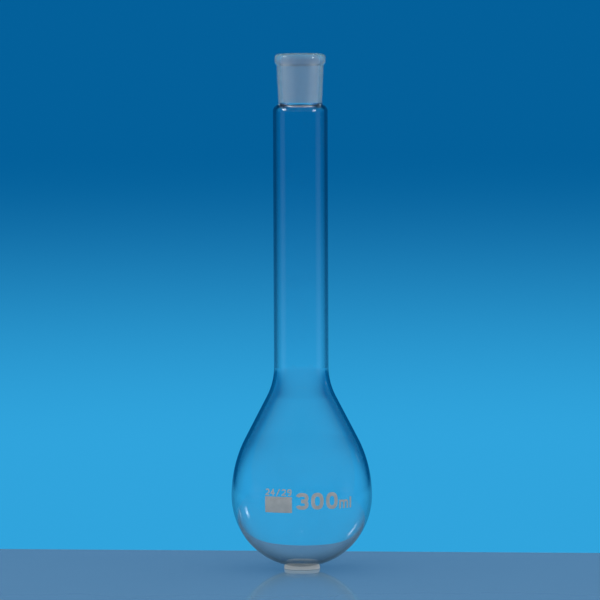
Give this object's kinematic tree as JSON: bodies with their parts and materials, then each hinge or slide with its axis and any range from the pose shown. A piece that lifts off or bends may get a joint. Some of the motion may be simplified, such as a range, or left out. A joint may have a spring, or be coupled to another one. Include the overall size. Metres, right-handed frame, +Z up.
{
  "type": "long-necked round-bottom flask",
  "caption": "Pear-shaped round-bottom glass flask with a long straight neck, a ground socket on top and a fired capacity print, standing on a loose rest ring.",
  "frame": {"origin": "centre of the rest ring's underside, on the surface the flask stands on", "axes": "+Z up along the flask's axis, -Y out of the print"},
  "size_m": [0.085, 0.0851, 0.3106],
  "materials": {
    "clear_glass": "clear, fire polished",
    "ground_glass": "cone ground matt inside, rim fire polished",
    "white_enamel": "fired screen print, satin",
    "ring_plastic": "milky translucent"
  },
  "bodies": {
    "ring": {"rest_ring": "ring_plastic"},
    "flask": {"bulb": "clear_glass", "neck_tube": "clear_glass", "ground_socket": "ground_glass", "capacity_figures": "white_enamel", "unit_letters": "white_enamel", "writing_panel": "white_enamel", "joint_size_mark": "white_enamel"}
  },
  "joints": [
    {"name": "lift_off", "type": "slide", "parent": "ring", "child": "flask", "axis": [0, 0, 1], "range_m": [0, 0.06]}
  ]
}
